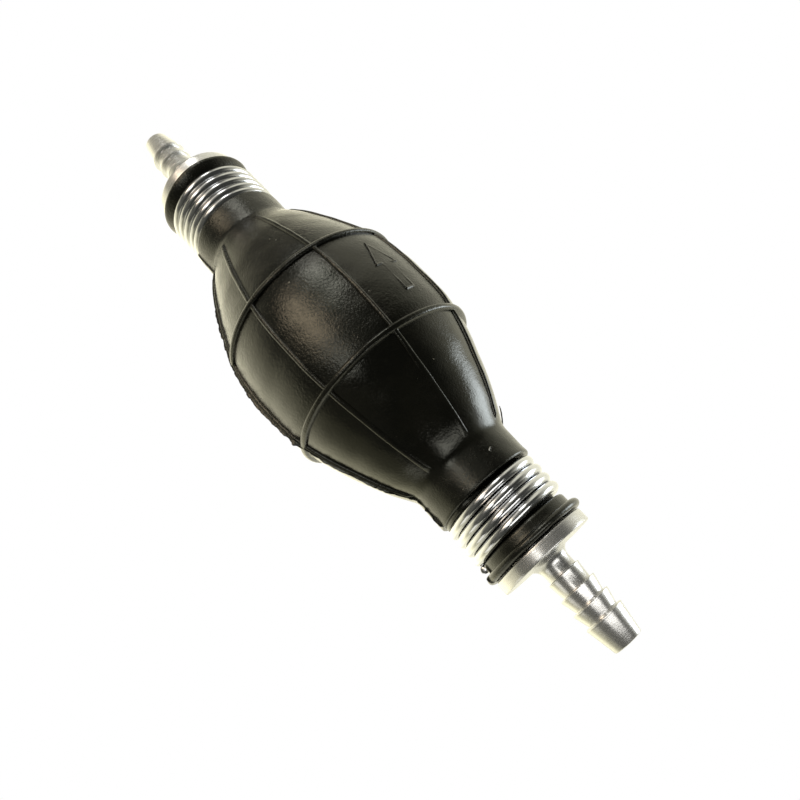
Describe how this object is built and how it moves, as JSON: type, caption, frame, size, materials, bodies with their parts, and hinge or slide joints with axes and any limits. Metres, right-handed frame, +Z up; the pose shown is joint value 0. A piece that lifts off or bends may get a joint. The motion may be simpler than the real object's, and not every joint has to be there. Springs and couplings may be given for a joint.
{
  "type": "siphon bulb pump",
  "caption": "Hand-squeezed rubber primer bulb with a spring-loaded check valve, turned aluminium hose barb and wire clamp at each end; draws liquid one way along a hose.",
  "frame": {"origin": "centre of the lowest level of the bounding box: below the middle of the bulb, on the surface the pump lies on", "axes": "+X along the pump's axis in the direction of flow, from the inlet barb to the outlet barb; +Z up, square to the bulb's parting plane; +Y completes the frame"},
  "size_m": [0.165, 0.0488, 0.0488],
  "materials": {
    "bulb_rubber": "moulded black nitrile rubber, satin, fine grain",
    "turned_aluminium": "bright turned aluminium, fine lathe lines",
    "zinc_wire": "bright zinc-plated round wire",
    "acetal": "moulded acetal",
    "nitrile_seal": "nitrile O-ring",
    "spring_steel": "stainless spring wire"
  },
  "bodies": {
    "pump_body": {"bulb_body": "bulb_rubber", "inlet_fitting": "turned_aluminium", "outlet_fitting": "turned_aluminium", "inlet_clamp": "zinc_wire", "outlet_clamp": "zinc_wire", "inlet_valve_spring": "spring_steel", "inlet_stem_guide": "acetal", "inlet_retaining_ring": "spring_steel", "outlet_valve_spring": "spring_steel", "outlet_stem_guide": "acetal", "outlet_seat_insert": "turned_aluminium", "outlet_insert_seal": "nitrile_seal", "outlet_retaining_ring": "spring_steel"},
    "upper_grip": {"bulb_grip_upper": "bulb_rubber"},
    "lower_grip": {"bulb_grip_lower": "bulb_rubber"},
    "inlet_valve": {"inlet_poppet": "acetal", "inlet_poppet_seal": "nitrile_seal"},
    "outlet_valve": {"outlet_poppet": "acetal", "outlet_poppet_seal": "nitrile_seal"}
  },
  "joints": [
    {"name": "bulb_squeeze", "type": "slide", "parent": "pump_body", "child": "upper_grip", "axis": [0, 0, -1], "range_m": [0, 0.009], "stiffness_N_per_m": 3000},
    {"name": "bulb_squeeze_lower", "type": "slide", "parent": "pump_body", "child": "lower_grip", "axis": [0, 0, 1], "range_m": [0, 0.009], "stiffness_N_per_m": 3000},
    {"name": "inlet_valve_lift", "type": "slide", "parent": "pump_body", "child": "inlet_valve", "axis": [1, 0, 0], "range_m": [0, 0.002], "stiffness_N_per_m": 50, "springref_m": -0.002, "deforming": ["inlet_valve_spring"]},
    {"name": "outlet_valve_lift", "type": "slide", "parent": "pump_body", "child": "outlet_valve", "axis": [1, 0, 0], "range_m": [0, 0.002], "stiffness_N_per_m": 50, "springref_m": -0.002, "deforming": ["outlet_valve_spring"]}
  ],
  "couplings": [
    {"joint": "bulb_squeeze_lower", "follows": "bulb_squeeze", "ratio": 1}
  ]
}
